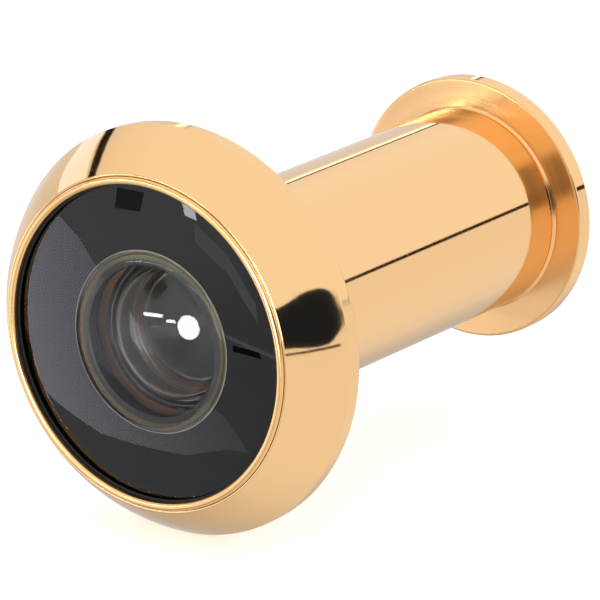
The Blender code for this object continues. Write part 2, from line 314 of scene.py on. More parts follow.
@dataclass(frozen=True)
class OpticalGlass(Finish):
    """Ground and polished crown glass: clear all through, with a trace of dust in its polish."""

    ior: float = 1.52
    dust_mm: float = 1.5
    dust_haze: float = 0.006
    bloom: str = "#FFFFFF"

    def dress(self, tree: Tree, shader: Node) -> None:
        """Makes the body clear and gives its skin a trace of haze."""
        shader.inputs["Transmission Weight"].default_value = 1.0
        shader.inputs["IOR"].default_value = self.ior
        shader.inputs["Specular Tint"].default_value = linear(self.bloom)
        place = add_node(tree, "ShaderNodeTexCoord").outputs["Object"]
        specks = {"Vector": place, "Scale": 1 / (self.dust_mm * MM), "Detail": 4.0}
        dust = add_node(tree, "ShaderNodeTexNoise", inputs=specks)
        haze = (self.roughness, self.roughness + self.dust_haze)
        self.vary_haze(tree, shader, dust.outputs["Fac"], (0.55, 0.8), haze)


# Brass, buffed and coated gold: a warm mirror
POLISHED_GOLD = PolishedMetal("gold_plated_polished_brass", "#FACE96", 0.045)
# The same coat over a face left from the lathe: satin, stretched across fine rings
SATIN_GOLD = TurnedMetal("gold_plated_turned_brass", "#F8C88C", 0.26)
# Uncoated free-cutting brass, greener and duller than the coat
TURNED_BRASS = TurnedMetal("turned_free_cutting_brass", "#D9A86A", 0.28, ring_height_mm=0.002)
# The pressed lip is buffed with the flange, but its small radius shows more haze
ROLLED_GOLD = PolishedMetal("gold_plated_rolled_lip", "#F8C88A", 0.20, wave_mm=1.2)
# Black lacquer on the back of the glass, bedded to it, so only its own colour shows
LENS_LACQUER = BeddedLacquer("black_lens_lacquer", "#0D0C0D", 0.6)
# Chemically blackened brass inside the cell and the barrel
BLACKENED = MattCoat("blackened_brass", "#141315", 0.5)
# Brass left bare on the mask ring's face, a dark olive: fine rings and a low shine behind the glass
DARK_OLIVE_BRASS = TurnedMetal("dark_olive_turned_brass", "#5E553F", 0.34, ring_mm=0.16, ring_height_mm=0.004)
# The spacer's brass, darker and more copper-toned than the other brass, deep behind the second lens
COPPER_TONED_BRASS = TurnedMetal("copper_toned_turned_brass", "#A26A50", 0.36)
# A white matt ring on the third lens's front face: a painted highlight, the bright line round the lens as seen
# through the others
PAINTED_HIGHLIGHT_RING = MattCoat("painted_highlight_white_ring", "#D8DCDC", 0.6)
# An olive-grey matt hairline on the bevel round the clear window: a painted highlight for the bevel's lit edge
PAINTED_HIGHLIGHT_WINDOW_EDGE = MattCoat("painted_highlight_window_bevel", "#A6A592", 0.6)
# Thin nitrile bedding ring
BEDDING_RUBBER = MattCoat("black_nitrile_rubber", "#151515", 0.75)
# Polished crown glass of all the lenses: clear, with a plain mirror on its skin
CROWN_GLASS = OpticalGlass("crown_glass", "#FBFEFC", 0.0)
# Edges left from the grinding wheel: translucent and faintly green
GROUND_GLASS = OpticalGlass("ground_crown_glass_edge", "#EDF3EE", 0.35)
# Coated faces of the middle of the glasses: they hardly mirror the room, so the inside shows dark and clear
BLOOMED_GLASS = OpticalGlass("bloomed_crown_glass", "#FBFEFC", 0.0, bloom="#464646")


# ---------------------------------------------------------------- turned meshes


@dataclass(frozen=True)
class Turn:
    """One corner of a turned outline, in millimetres.

    The finish is the number of the material on the stretch that leaves this corner.
    """

    radius: float
    along: float
    rounding: float = 0.0
    finish: int = 0


def rounded(outline: list[Turn]) -> list[tuple[float, float, int]]:
    """Rounds the corners of an outline, with a holding point beside each rounding to keep the flats flat.

    Args:
        outline: The closed outline's corners, in order.

    Returns:
        Points as radius, place along the axis and finish number.
    """
    points: list[tuple[float, float, int]] = []
    for number, here in enumerate(outline):
        before, after = outline[number - 1], outline[(number + 1) % len(outline)]
        corner = Vector((here.radius, here.along))
        back = Vector((before.radius, before.along)) - corner
        ahead = Vector((after.radius, after.along)) - corner
        turn = back.angle(ahead) if back.length and ahead.length else math.pi
        if here.rounding <= 0 or turn > STRAIGHT:
            points.append((here.radius, here.along, here.finish))
            continue
        back_room, ahead_room = back.length * SIDE_SHARE, ahead.length * SIDE_SHARE
        reach = min(here.rounding / math.tan(turn / 2), back_room, ahead_room)
        radius = reach * math.tan(turn / 2)
        back.normalize()
        ahead.normalize()
        centre = corner + (back + ahead).normalized() * (radius / math.sin(turn / 2))
        start, stop = corner + back * reach, corner + ahead * reach
        hold_back, hold_ahead = (min(HOLD, (room - reach) / 2) for room in (back_room, ahead_room))
        if hold_back > LEAST_HOLD:
            held = start + back * hold_back
            points.append((held.x, held.y, before.finish))
        first, last = start - centre, stop - centre
        sweep = math.pi - turn
        side = 1.0 if first.cross(last) > 0 else -1.0
        for step in range(ROUNDING_STEPS + 1):
            angle = side * sweep * step / ROUNDING_STEPS
            spun = Matrix.Rotation(angle, 2) @ first
            place = centre + spun
            finish = before.finish if step < ROUNDING_STEPS / 2 else here.finish
            points.append((place.x, place.y, finish))
        if hold_ahead > LEAST_HOLD:
            held = stop + ahead * hold_ahead
            points.append((held.x, held.y, here.finish))
    return points


def lathe(points: list[tuple[float, float, int]], segments: int = SEGMENTS) -> Mould:
    """Turns a closed outline about the Y axis.

    Args:
        points: Radius and place along the axis, in millimetres, and the finish of the stretch that follows.
        segments: How many steps make the round.

    Returns:
        The closed mesh, in metres, with its faces pointing outwards.
    """
    mesh = bmesh.new()
    rings: list[list[bmesh.types.BMVert]] = []
    for radius, along, _finish in points:
        if radius < ON_AXIS:
            rings.append([mesh.verts.new((0.0, along * MM, 0.0))])
            continue
        ring = []
        for step in range(segments):
            angle = 2 * math.pi * step / segments
            place = (radius * math.cos(angle) * MM, along * MM, radius * math.sin(angle) * MM)
            ring.append(mesh.verts.new(place))
        rings.append(ring)
    for number, ring in enumerate(rings):
        following = rings[(number + 1) % len(rings)]
        if len(ring) == 1 and len(following) == 1:
            continue
        for step in range(segments):
            beyond = (step + 1) % segments
            corners = [ring[step % len(ring)], ring[beyond % len(ring)]]
            corners += [following[beyond % len(following)], following[step % len(following)]]
            face = mesh.faces.new(list(dict.fromkeys(corners)))
            face.material_index = points[number][2]
    bmesh.ops.recalc_face_normals(mesh, faces=mesh.faces)
    return mesh


def arc(vertex: float, curve: float, sense: int, start: float, stop: float, finish: int = 0) -> list[Turn]:
    """Corners along a spherical surface, from one radius to another.

    Args:
        vertex: Where the surface crosses the axis.
        curve: The sphere's radius.
        sense: 1 where the surface falls back towards +Y away from the axis, or -1.
        start: The first distance from the axis.
        stop: The last distance from the axis.
        finish: The finish number along the surface.

    Returns:
        The corners, in order.
    """
    made = []
    for step in range(LENS_STEPS + 1):
        radius = start + (stop - start) * step / LENS_STEPS
        sag = curve - math.sqrt(curve * curve - radius * radius)
        made.append(Turn(radius, vertex + sense * sag, 0.0, finish))
    return made


def smooth(mesh: bpy.types.Mesh) -> None:
    """Shades the faces smooth, apart from the sharp edges."""
    mesh.shade_smooth()
    mesh.set_sharp_from_angle(angle=SHARP_ANGLE)


def add_object(name: str, mesh: Mould) -> Thing:
    """Links a mesh to the scene as an object at the origin.

    Args:
        name: The object's name.
        mesh: The mesh, which is freed.

    Returns:
        The object.
    """
    data = bpy.data.meshes.new(name)
    mesh.to_mesh(data)
    mesh.free()
    made = bpy.data.objects.new(name, data)
    bpy.context.scene.collection.objects.link(made)
    return made


def piece(name: str, mesh: Mould, finishes: list[Finish]) -> Thing:
    """Makes a mesh a visible piece with its finishes.

    Args:
        name: The piece's name.
        mesh: The mesh, which is freed.
        finishes: The finishes, in the order of the faces' numbers.

    Returns:
        The object, at the origin.
    """
    made = add_object(name, mesh)
    for finish in finishes:
        made.data.materials.append(finish.material())
    smooth(made.data)
    return made


def settle(made: Thing, body: str, node: str) -> None:
    """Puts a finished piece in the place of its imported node.

    Args:
        made: The piece.
        body: The moving body that it belongs to.
        node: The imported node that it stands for.
    """
    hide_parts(node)
    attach(made, body)
    log.info("%s: %d faces on %s", made.name, len(made.data.polygons), body)


def node_box(node: str) -> tuple[Vector, Vector]:
    """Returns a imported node's lowest and highest corners, in millimetres."""
    low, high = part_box(node)
    return low / MM, high / MM


def carve(target: Thing, cutter: Thing) -> None:
    """Takes a cutter away from a piece for good, and removes the cutter.

    Args:
        target: The piece.
        cutter: The solid to take away.
    """
    modifier = target.modifiers.new("cut", "BOOLEAN")
    modifier.operation = "DIFFERENCE"
    modifier.solver = "EXACT"
    modifier.object = cutter
    graph = bpy.context.evaluated_depsgraph_get()
    carved = bpy.data.meshes.new_from_object(target.evaluated_get(graph))
    target.modifiers.clear()
    target.data = carved
    bpy.data.objects.remove(cutter)


def slot_cutter(width: float, length: float, depth: float, place: Spot) -> Thing:
    """Makes the solid that mills a slot with rounded ends into a face that looks to +Y.

    Args:
        width: The slot's width.
        length: Its length along X, from end to end.
        depth: How deep it goes.
        place: The middle of the slot in the plane of the face, in millimetres.

    Returns:
        The cutter, which stands clear of the face.
    """
    mesh = bmesh.new()
    radius = width / 2
    run = max(length / 2 - radius, 0.0)
    rim = []
    for side, first in ((1, math.pi / 2), (-1, math.pi * 1.5)):
        for step in range(SLOT_END_STEPS + 1):
            angle = first - math.pi * step / SLOT_END_STEPS
            rim.append((side * run + radius * math.cos(angle), radius * math.sin(angle)))
    # Height over the face and growth of each layer: the floor, the edge's chamfer in two, and the lid
    layers = ((-depth, 0.0), (-0.08, 0.0), (0.04, 0.12), (0.5, 0.12))
    rings = []
    for height, grow in layers:
        ring = []
        for x, z in rim:
            scale = (radius + grow) / radius
            side = math.copysign(run, x) if abs(x) > run else x
            spot = (side + (x - side) * scale + place[0], place[1] + height, z * scale + place[2])
            ring.append(mesh.verts.new([value * MM for value in spot]))
        rings.append(ring)
    for lower, upper in zip(rings, rings[1:]):
        for step in range(len(lower)):
            beyond = (step + 1) % len(lower)
            mesh.faces.new((lower[step], lower[beyond], upper[beyond], upper[step]))
    mesh.faces.new(rings[0])
    mesh.faces.new(rings[-1])
    bmesh.ops.recalc_face_normals(mesh, faces=mesh.faces)
    return add_object("slot_cutter", mesh)


# ---------------------------------------------------------------- screw thread


def thread_tree() -> Tree:
    """Builds the node tree that winds a screw thread's ridge round the Y axis.

    Returns:
        The tree, made once and used by every thread.
    """
    found = bpy.data.node_groups.get("screw_thread")
    if found:
        return found
    tree = bpy.data.node_groups.new("screw_thread", "GeometryNodeTree")
    face = tree.interface
    face.new_socket("Geometry", in_out="INPUT", socket_type="NodeSocketGeometry")
    for name in ("Root Radius", "Depth", "Pitch", "Start", "Turns", "Root Width", "Crest Width", "Run Out"):
        face.new_socket(name, in_out="INPUT", socket_type="NodeSocketFloat")
    face.new_socket("Finish", in_out="INPUT", socket_type="NodeSocketMaterial")
    face.new_socket("Geometry", in_out="OUTPUT", socket_type="NodeSocketGeometry")
    given = add_node(tree, "NodeGroupInput").outputs

    share = add_node(tree, "GeometryNodeSplineParameter").outputs["Factor"]
    sums: dict[str, Socket] = {}
    for name, operation, *values in (
        ("height", "MULTIPLY", given["Pitch"], given["Turns"]),
        ("turned", "MULTIPLY", share, given["Turns"]),
        ("left", "SUBTRACT", given["Turns"], "turned"),
        ("nearest", "MINIMUM", "turned", "left"),
        ("run", "DIVIDE", "nearest", given["Run Out"]),
        ("taper", "MINIMUM", "run", 1.0),
        ("scale", "MAXIMUM", "taper", THREAD_TIP),
        ("half_root", "MULTIPLY", given["Root Width"], 0.5),
        ("half_crest", "MULTIPLY", given["Crest Width"], 0.5),
        ("other_root", "MULTIPLY", "half_root", -1.0),
        ("other_crest", "MULTIPLY", "half_crest", -1.0),
        ("foot", "MULTIPLY", given["Depth"], -THREAD_ROOTING),
    ):
        fed = {place: sums[value] if isinstance(value, str) else value for place, value in enumerate(values)}
        sums[name] = add_node(tree, "ShaderNodeMath", {"operation": operation}, fed).outputs[0]
    root = {"Start Radius": given["Root Radius"], "End Radius": given["Root Radius"]}
    winding = {"Resolution": THREAD_STEPS, "Rotations": given["Turns"], "Height": sums["height"], **root}
    helix = add_node(tree, "GeometryNodeCurveSpiral", inputs=winding)
    line = {"Curve": helix.outputs["Curve"]}
    upright = add_node(tree, "GeometryNodeSetCurveNormal", {"mode": "Z_UP"}, line)
    tapering = {"Curve": upright.outputs["Curve"], "Radius": sums["scale"]}
    tapered = add_node(tree, "GeometryNodeSetCurveRadius", inputs=tapering)
    foot, crest = sums["foot"], given["Depth"]
    section_corners = ((foot, "half_root"), (crest, "half_crest"), (crest, "other_crest"), (foot, "other_root"))
    corners = []
    for outwards, half in section_corners:
        spot = {"X": outwards, "Y": sums[half]}
        corners.append(add_node(tree, "ShaderNodeCombineXYZ", inputs=spot).outputs[0])
    points = {f"Point {number + 1}": corner for number, corner in enumerate(corners)}
    section = add_node(tree, "GeometryNodeCurvePrimitiveQuadrilateral", {"mode": "POINTS"}, points)
    path = {"Curve": tapered.outputs["Curve"], "Profile Curve": section.outputs["Curve"], "Fill Caps": True}
    swept = add_node(tree, "GeometryNodeCurveToMesh", inputs=path)
    shift = add_node(tree, "ShaderNodeCombineXYZ", inputs={"Y": given["Start"]})
    laid = {"Translation": shift.outputs[0], "Rotation": (-math.pi / 2, 0.0, 0.0)}
    placed = add_node(tree, "GeometryNodeTransform", inputs={"Geometry": swept.outputs["Mesh"], **laid})
    real = add_node(tree, "GeometryNodeRealizeInstances", inputs={"Geometry": placed.outputs["Geometry"]})
    skin = {"Geometry": real.outputs["Geometry"], "Material": given["Finish"]}
    coated = add_node(tree, "GeometryNodeSetMaterial", inputs=skin)
    add_node(tree, "NodeGroupOutput", inputs={"Geometry": coated.outputs["Geometry"]})
    return tree


@dataclass(frozen=True)
class ScrewThread:
    """A V thread. A negative depth makes the ridge point inwards, as in a nut."""

    root_radius: float
    depth: float
    start: float
    turns: float
    pitch: float = 1.0
    root_width: float = 0.86
    crest_width: float = 0.12
    run_out: float = 0.35

    def add_to(self, mesh: Mould, finish: Finish, number: int) -> None:
        """Winds the ridge and adds it to a mesh.

        Args:
            mesh: The turned mesh that carries the thread.
            finish: The thread's finish.
            number: That finish's number on the piece.
        """
        holder = bpy.data.objects.new("thread_holder", bpy.data.meshes.new("thread_holder"))
        bpy.context.scene.collection.objects.link(holder)
        modifier = holder.modifiers.new("thread", "NODES")
        modifier.node_group = thread_tree()
        sizes = {
            "Root Radius": self.root_radius * MM,
            "Depth": self.depth * MM,
            "Pitch": self.pitch * MM,
            "Start": self.start * MM,
            "Turns": self.turns,
            "Root Width": self.root_width * MM,
            "Crest Width": self.crest_width * MM,
            "Run Out": self.run_out,
            "Finish": finish.material(),
        }
        for item in modifier.node_group.interface.items_tree:
            if item.item_type == "SOCKET" and item.in_out == "INPUT" and item.name in sizes:
                modifier[item.identifier] = sizes[item.name]
        graph = bpy.context.evaluated_depsgraph_get()
        wound = bpy.data.meshes.new_from_object(holder.evaluated_get(graph))
        bpy.data.objects.remove(holder)
        ridge = bmesh.new()
        ridge.from_mesh(wound)
        bmesh.ops.recalc_face_normals(ridge, faces=ridge.faces)
        for face in ridge.faces:
            face.material_index = number
        ridge.to_mesh(wound)
        ridge.free()
        mesh.from_mesh(wound)
        bpy.data.meshes.remove(wound)


# ---------------------------------------------------------------- sub-assemblies


@dataclass
class FrontBarrel:
    """The flange, the lens cell and the tube, turned from one bar."""

    tube_radius: float = 8.0
    tube_chamfer: float = 0.22
    rim_length: float = 1.40
    rim_rounding: float = 0.45
    crease_radius: float = 12.70
    front_edge: float = -5.35
    cone_crown: float = 0.15
    cell_radius: float = 12.55
    cell_floor: float = -3.20
    second_bore: float = 7.15
    third_bore: float = 5.75
    third_bore_start: float = 1.15
    web_front: float = 2.70
    web_back: float = 3.55
    web_aperture: float = 4.90
    rear_bore: float = 7.05
    nut_length: float = 8.50
    nut_lead: float = 0.50
    nut_depth: float = 0.60
    nut_root_width: float = 0.90
    mouth_chamfer: float = 0.25
    crease_rounding: float = 0.12
    cone_steps: int = 16

    def cone(self, flange_radius: float) -> list[Turn]:
        """Returns the corners of the front cone, from the rim to the lip ring, slightly crowned."""
        made = []
        for step in range(self.cone_steps + 1):
            share = step / self.cone_steps
            radius = flange_radius + (self.crease_radius - flange_radius) * share
            along = -self.rim_length + (self.front_edge + self.rim_length) * share
            bulge = self.cone_crown * math.sin(math.pi * share)
            ends = step in (0, self.cone_steps)
            made.append(Turn(radius + bulge, along - bulge, self.crease_rounding if ends else 0.0))
        return made

    def outline(self) -> list[Turn]:
        """Returns the whole outline. Finish 0 is polished, 1 satin and 2 black."""
        high = node_box("front_barrel")[1]
        end, flange = high.y, high.x
        chamfer, mouth = self.tube_chamfer, self.mouth_chamfer
        return [
            Turn(self.tube_radius - chamfer, end, 0.04),
            Turn(self.tube_radius, end - chamfer, 0.06),
            Turn(self.tube_radius, 0.0, 0.10, 1),
            Turn(flange, 0.0, self.rim_rounding),
            *self.cone(flange),
            Turn(self.cell_radius, self.front_edge, 0.05, 2),
            Turn(self.cell_radius, self.cell_floor, 0.05, 2),
            Turn(self.second_bore, self.cell_floor, 0.05, 2),
            Turn(self.second_bore, self.third_bore_start, 0.05, 2),
            Turn(self.third_bore, self.third_bore_start, 0.05, 2),
            Turn(self.third_bore, self.web_front, 0.05, 2),
            Turn(self.web_aperture, self.web_front, 0.08, 2),
            Turn(self.web_aperture, self.web_back, 0.08, 2),
            Turn(self.rear_bore, self.web_back, 0.10, 2),
            Turn(self.rear_bore, end - mouth, 0.05, 0),
            Turn(self.rear_bore + mouth, end, 0.04, 0),
        ]

    def build(self) -> None:
        """Builds and dresses the barrel."""
        mesh = lathe(rounded(self.outline()))
        start = node_box("front_barrel")[1].y - self.nut_length + self.nut_lead
        turns = self.nut_length - 2 * self.nut_lead
        thread = ScrewThread(self.rear_bore, -self.nut_depth, start, turns, root_width=self.nut_root_width)
        thread.add_to(mesh, TURNED_BRASS, 3)
        made = piece("front_barrel_turned", mesh, [POLISHED_GOLD, SATIN_GOLD, BLACKENED, TURNED_BRASS])
        settle(made, "outer_half", "front_barrel")


@dataclass
class LensRetainer:
    """The pressed lip ring and the rubber that beds the glass against its bead."""

    outer: float = 12.53
    wall: float = 0.25
    bead_inner: float = 11.95
    bead_depth: float = 0.43
    inner_rounding: float = 0.34
    outer_rounding: float = 0.24
    gasket_inner: float = 11.80

    def build(self) -> None:
        """Builds and dresses both rings."""
        low, high = node_box("lens_lip_ring")
        bead_back = low.y + self.bead_depth
        inner = self.outer - self.wall
        outline = [
            Turn(self.bead_inner, bead_back, 0.05),
            Turn(self.bead_inner, low.y, self.inner_rounding),
            Turn(self.outer, low.y, self.outer_rounding),
            Turn(self.outer, high.y, 0.04),
            Turn(inner, high.y, 0.04),
            Turn(inner, bead_back, 0.02),
        ]
        made = piece("lens_lip_ring_rolled", lathe(rounded(outline)), [ROLLED_GOLD])
        settle(made, "outer_half", "lens_lip_ring")
        low, high = node_box("objective_gasket")
        inner, outer = self.gasket_inner, high.x
        bed = [
            Turn(inner, low.y, 0.06),
            Turn(outer, low.y, 0.06),
            Turn(outer, high.y, 0.06),
            Turn(inner, high.y, 0.06),
        ]
        made = piece("objective_gasket_rubber", lathe(rounded(bed)), [BEDDING_RUBBER])
        settle(made, "outer_half", "objective_gasket")


@dataclass
class ObjectiveLens:
    """The wide front glass: crowned in front, flat and lacquered black behind, hollowed in the middle."""

    radius: float = 12.10
    front: float = -5.49
    front_curve: float = 100.0
    back: float = -4.10
    bloomed_radius: float = 6.30
    clear_radius: float = 6.78
    bowl_radius: float = 5.65
    bowl_step: float = 0.10
    bowl_curve: float = 60.0
    bevel: float = 0.08
    mask_inner: float = 5.65
    mask_groove: tuple[float, float] = (6.56, 0.07)
    mask_bare_from: float = 6.18

    def build(self) -> None:
        """Builds the glass and the black ring behind it."""
        bowl_edge = self.back - self.bowl_step
        sag = self.bowl_curve - math.sqrt(self.bowl_curve**2 - self.bowl_radius**2)
        outline = [
            *arc(self.front, self.front_curve, 1, 0.0, self.bloomed_radius, 3)[:-1],
            *arc(self.front, self.front_curve, 1, self.bloomed_radius, self.radius - 0.15),
            Turn(self.radius, self.front + 0.90, 0.0, 1),
            Turn(self.radius, self.back - 0.15, 0.04, 1),
            Turn(self.radius - 0.15, self.back, 0.04, 1),
            # The stretch from here to the clear window is the bevel, coloured olive-grey as a painted highlight
            # of its lit edge
            Turn(self.clear_radius + self.bevel, self.back, 0.0, 2),
            Turn(self.clear_radius, self.back - self.bevel / 2, 0.0, 3),
            *arc(bowl_edge - sag, self.bowl_curve, 1, self.bowl_radius, 0.0, 3),
        ]
        mesh = lathe(rounded(outline))
        made = piece("objective_lens_glass", mesh, [CROWN_GLASS, LENS_LACQUER, PAINTED_HIGHLIGHT_WINDOW_EDGE, BLOOMED_GLASS])
        settle(made, "outer_half", "objective_lens")
        low, high = node_box("black_mask_ring")
        groove, depth = self.mask_groove
        ring = [
            Turn(self.mask_inner, low.y, 0.06),
            Turn(self.mask_bare_from, low.y, 0.0, 1),
            Turn(groove - depth, low.y, 0.02, 1),
            Turn(groove, low.y + depth, 0.02, 1),
            Turn(groove + depth, low.y, 0.02, 1),
            Turn(self.clear_radius + 0.1, low.y),
            Turn(high.x, low.y, 0.04),
            Turn(high.x, high.y, 0.04),
            Turn(self.mask_inner, high.y, 0.04),
        ]
        made = piece("black_mask_ring_coated", lathe(rounded(ring)), [BLACKENED, DARK_OLIVE_BRASS])
        settle(made, "outer_half", "black_mask_ring")


@dataclass
class RelayLenses:
    """The two smaller lenses behind the objective, with the keeper and the spacer that set them."""

    second_radius: float = 7.05
    second_curve: float = 11.0
    second_bowl: float = 5.30
    second_bowl_curve: float = 6.20
    keeper_inner: float = 6.10
    spacer_inner: float = 4.95
    third_radius: float = 5.65
    third_curve: float = 9.0
    # The arc's step from which a thin white ring of painted highlight runs over the third lens's front
    third_highlight_step: int = 19

    def build(self) -> None:
        """Builds and dresses the four pieces."""
        low, high = node_box("second_lens")
        sag = self.second_bowl_curve - math.sqrt(self.second_bowl_curve**2 - self.second_bowl**2)
        outline = [
            *arc(low.y, self.second_curve, 1, 0.0, self.second_radius),
            Turn(self.second_radius, high.y, 0.06, 1),
            Turn(self.second_bowl, high.y, 0.03, 2),
            *arc(high.y - sag, self.second_bowl_curve, 1, self.second_bowl, 0.0, 2)[1:],
        ]
        made = piece("second_lens_glass", lathe(rounded(outline)), [CROWN_GLASS, GROUND_GLASS, BLOOMED_GLASS])
        settle(made, "outer_half", "second_lens")

        top, bottom = node_box("second_lens_keeper")
        radii = (self.second_radius, self.keeper_inner)
        drop = [self.second_curve - math.sqrt(self.second_curve**2 - radius**2) for radius in radii]
        keeper = [
            Turn(self.keeper_inner, top.y, 0.05),
            Turn(self.second_radius, top.y, 0.05),
            Turn(self.second_radius, low.y - 0.1 + drop[0], 0.03),
            Turn(self.keeper_inner, low.y - 0.1 + drop[1], 0.05),
        ]
        made = piece("second_lens_keeper_coated", lathe(rounded(keeper)), [BLACKENED])
        settle(made, "outer_half", "second_lens_keeper")

        low, high = node_box("lens_spacer")
        spacer = [
            Turn(self.spacer_inner, low.y, 0.10),
            Turn(high.x, low.y, 0.10),
            Turn(high.x, high.y, 0.10),
            Turn(self.spacer_inner, high.y, 0.10),
        ]
        made = piece("lens_spacer_turned", lathe(rounded(spacer)), [COPPER_TONED_BRASS])
        settle(made, "outer_half", "lens_spacer")

        low, high = node_box("third_lens")
        third = [
            *arc(low.y, self.third_curve, 1, 0.0, self.third_radius, 3),
            Turn(self.third_radius, high.y, 0.10, 1),
            Turn(0.0, high.y),
        ]
        # The stretch after this step is the white matt ring of painted highlight
        bevel = third[self.third_highlight_step]
        third[self.third_highlight_step] = Turn(bevel.radius, bevel.along, 0.0, 2)
        finishes = [CROWN_GLASS, GROUND_GLASS, PAINTED_HIGHLIGHT_RING, BLOOMED_GLASS]
        made = piece("third_lens_glass", lathe(rounded(third)), finishes)
        settle(made, "outer_half", "third_lens")


@dataclass
class EyepieceBarrel:
    """The rear flange and the long threaded tube that screws into the front barrel."""

    crest: float = 6.70
    thread_depth: float = 0.50
    undercut_start: float = 34.90
    undercut: float = 6.15
    lead_drop: float = 0.35
    lead_length: float = 0.40
    face_front: float = 36.15
    boss_radius: float = 8.14
    boss_height: float = 0.20
    boss_slope: float = 0.16
    rim_rounding: float = 0.20
    bore: float = 4.90
    eye_bore: float = 5.55
    eye_seat: float = 33.40
    mouth_chamfer: float = 0.30
    coin_slot: Spot = (1.6, 2.5, 0.8)
    coin_slot_middle: float = 7.75

    def outline(self) -> list[Turn]:
        """Returns the outline. Finish 0 is polished, 1 satin, 2 black and 3 bare brass."""
        low, high = node_box("eyepiece_barrel")
        root = self.crest - self.thread_depth
        boss = self.face_front - self.boss_height
        return [
            Turn(self.bore, low.y, 0.06, 3),
            Turn(root - self.lead_drop, low.y, 0.05, 3),
            Turn(root, low.y + self.lead_length, 0.05, 3),
            Turn(root, self.undercut_start, 0.0, 3),
            Turn(self.undercut, self.undercut_start + 0.05, 0.0, 3),
            Turn(self.undercut, boss, 0.05, 0),
            Turn(self.boss_radius - self.boss_slope, boss, 0.05, 1),
            Turn(self.boss_radius, self.face_front, 0.02, 1),
            Turn(high.x, self.face_front, self.rim_rounding, 0),
            Turn(high.x, high.y, self.rim_rounding, 0),
            Turn(self.eye_bore + self.mouth_chamfer, high.y, 0.05, 0),
            Turn(self.eye_bore, high.y - self.mouth_chamfer, 0.05, 0),
            Turn(self.eye_bore, self.eye_seat, 0.04, 2),
            Turn(self.bore, self.eye_seat, 0.05, 2),
        ]

    def build(self) -> None:
        """Builds the barrel, winds its thread and mills the coin slots."""
        low, high = node_box("eyepiece_barrel")
        mesh = lathe(rounded(self.outline()))
        start = float(math.ceil(low.y))
        root = self.crest - self.thread_depth
        turns = float(math.floor(self.undercut_start - start))
        ScrewThread(root, self.thread_depth, start, turns).add_to(mesh, TURNED_BRASS, 3)
        finishes = [POLISHED_GOLD, SATIN_GOLD, BLACKENED, TURNED_BRASS]
        made = piece("eyepiece_barrel_turned", mesh, finishes)
        for side in (1, -1):
            carve(made, slot_cutter(*self.coin_slot, (side * self.coin_slot_middle, high.y, 0.0)))
        smooth(made.data)
        settle(made, "inner_half", "eyepiece_barrel")


@dataclass
class Eyepiece:
    """The lens next to the eye and the ring that locks it."""

    lens_radius: float = 5.45
    front_curve: float = 20.0
    back_curve: float = 12.0
    ring_inner: float = 4.60
    slot: Spot = (1.0, 3.0, 0.6)
    slot_middle: float = 5.2

    def build(self) -> None:
        """Builds and dresses the lens and its lock ring."""
        low, high = node_box("eyepiece_lens")
        outline = [
            *arc(low.y, self.front_curve, 1, 0.0, self.lens_radius, 0),
            *arc(high.y, self.back_curve, -1, self.lens_radius, 0.0, 0),
        ]
        outline[LENS_STEPS] = Turn(outline[LENS_STEPS].radius, outline[LENS_STEPS].along, 0.0, 1)
        made = piece("eyepiece_lens_glass", lathe(rounded(outline)), [CROWN_GLASS, GROUND_GLASS])
        settle(made, "eyepiece_carrier", "eyepiece_lens")

        low, high = node_box("eyepiece_lock_ring")
        ring = [
            Turn(self.ring_inner, low.y, 0.08),
            Turn(self.lens_radius, low.y, 0.08),
            Turn(self.lens_radius, high.y, 0.10),
            Turn(self.ring_inner, high.y, 0.20),
        ]
        made = piece("eyepiece_lock_ring_turned", lathe(rounded(ring)), [TURNED_BRASS])
        for side in (1, -1):
            carve(made, slot_cutter(*self.slot, (side * self.slot_middle, high.y, 0.0)))
        smooth(made.data)
        settle(made, "inner_half", "eyepiece_lock_ring")


# ---------------------------------------------------------------- studio


class Across(Enum):
    """The axis that a card stands across."""

    X = 0
    Y = 1


@dataclass(frozen=True)
class Card:
    """A flat card, strip or lamp that the metal and the glass mirror, and that the camera doesn't see.

    The outline's points are (Y, Z) on a card across X, and (X, Z) on one across Y. The brightness may
    change evenly to another one along the outline's first axis.
    """

    name: str
    across: Across
    offset: float
    outline: tuple[Point, ...]
    hex_colour: str
    brightness: float = 1.0
    far_brightness: float | None = None

    def build(self) -> None:
        """Hangs the card in its plane."""
        mesh = bmesh.new()
        corners = []
        for first, height in self.outline:
            flat = (self.offset, first) if self.across is Across.X else (first, self.offset)
            corners.append(mesh.verts.new((*flat, height)))
        mesh.faces.new(corners)
        card = add_object(self.name, mesh)
        card.data.materials.append(self.material())
        card.visible_camera = False
        card.visible_diffuse = False
        card.visible_shadow = False

    def material(self) -> bpy.types.Material:
        """Returns the card's glow, even or changing along its first axis."""
        made = bpy.data.materials.new(self.name)
        made.use_nodes = True
        tree = made.node_tree
        tree.nodes.clear()
        light = {"Color": linear(self.hex_colour), "Strength": self.brightness}
        glow = add_node(tree, "ShaderNodeEmission", inputs=light)
        if self.far_brightness is not None:
            place = add_node(tree, "ShaderNodeTexCoord").outputs["Object"]
            parts = add_node(tree, "ShaderNodeSeparateXYZ", inputs={0: place}).outputs
            ends = [point[0] for point in self.outline]
            span = {"From Min": min(ends), "From Max": max(ends)}
            span |= {"To Min": self.brightness, "To Max": self.far_brightness}
            along = parts["Y" if self.across is Across.X else "X"]
            change = add_node(tree, "ShaderNodeMapRange", inputs={"Value": along, **span})
            tree.links.new(change.outputs["Result"], glow.inputs["Strength"])
        add_node(tree, "ShaderNodeOutputMaterial", inputs={"Surface": glow.outputs[0]})
        return made


